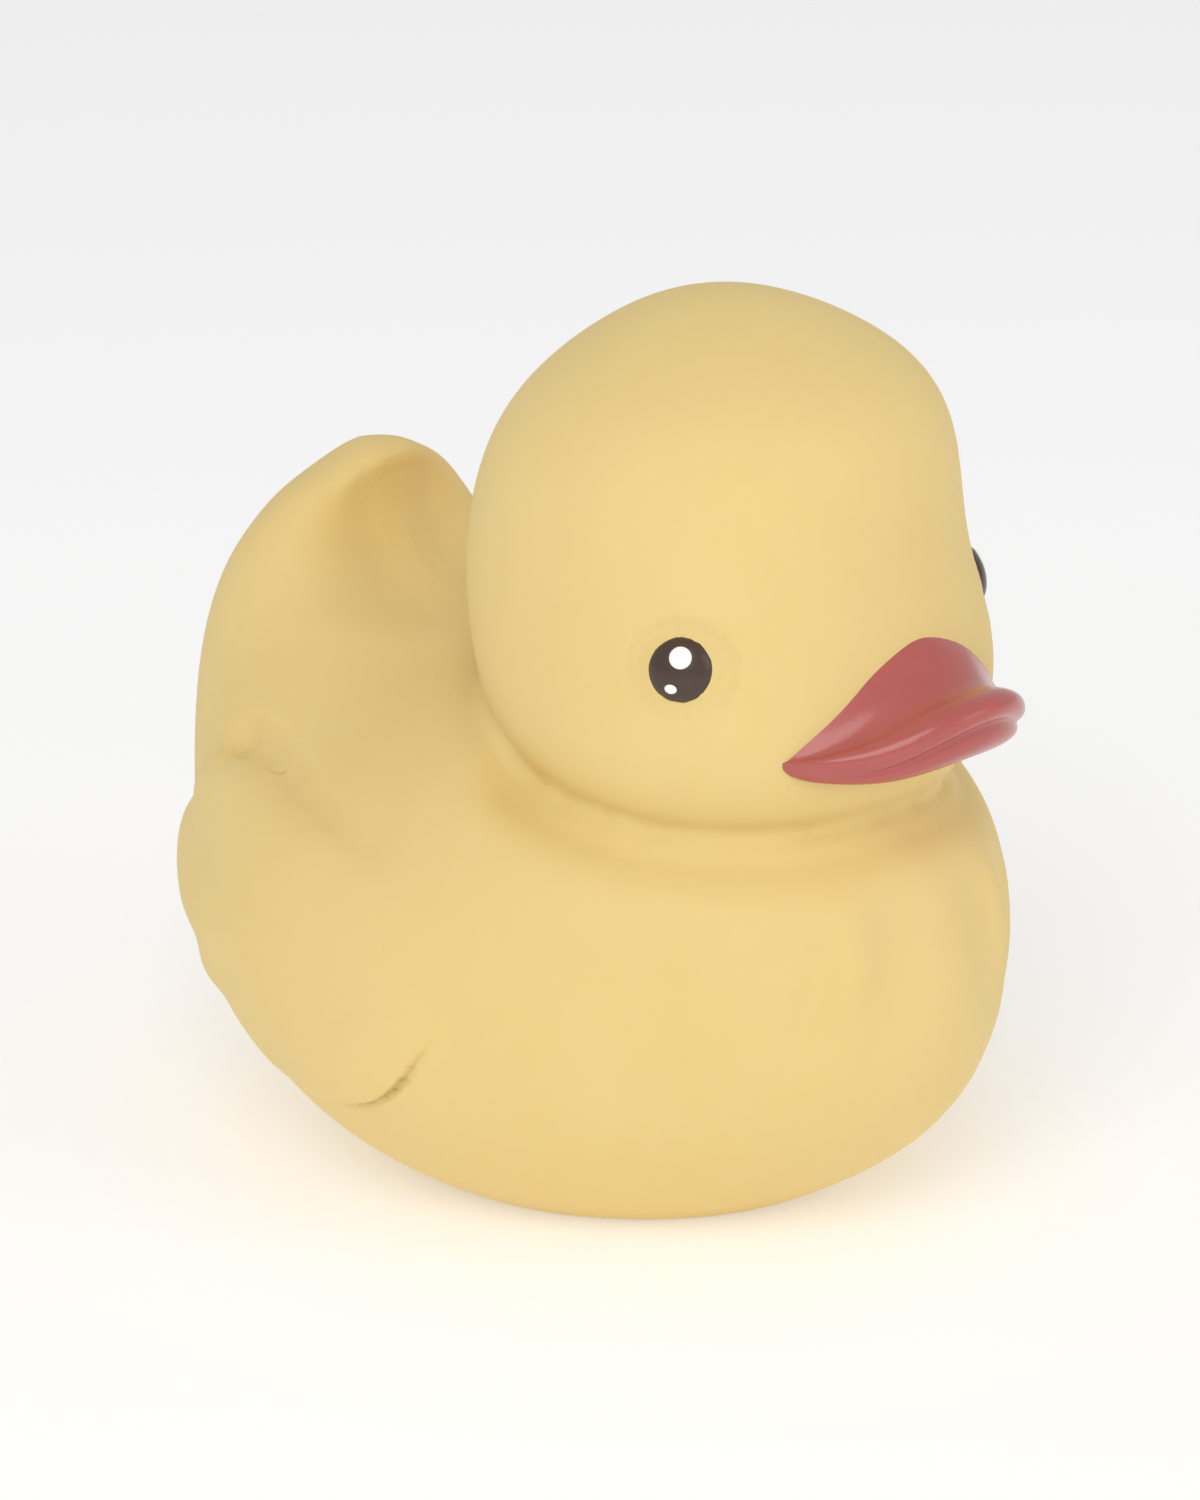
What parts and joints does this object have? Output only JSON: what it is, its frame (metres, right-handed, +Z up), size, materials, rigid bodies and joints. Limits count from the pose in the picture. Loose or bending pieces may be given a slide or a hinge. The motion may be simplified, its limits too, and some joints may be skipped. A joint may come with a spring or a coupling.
{
  "type": "rubber duck",
  "caption": "Round bath duck moulded in one piece, with a large head, upturned tail, raised wings, painted bill and painted eyes.",
  "frame": {"origin": "middle of the flat base, under the middle of the duck's overall box", "axes": "-Y is the way the duck faces, +X is its left side and +Z is up"},
  "size_m": [0.0894, 0.1074, 0.0981],
  "materials": {
    "natural_rubber": "matt pale yellow natural rubber",
    "bill_paint": "glossy dusky pink paint",
    "eye_paint": "satin dark brown paint",
    "highlight_paint": "satin white paint"
  },
  "bodies": {
    "root": {"duck": "natural_rubber"}
  },
  "joints": []
}
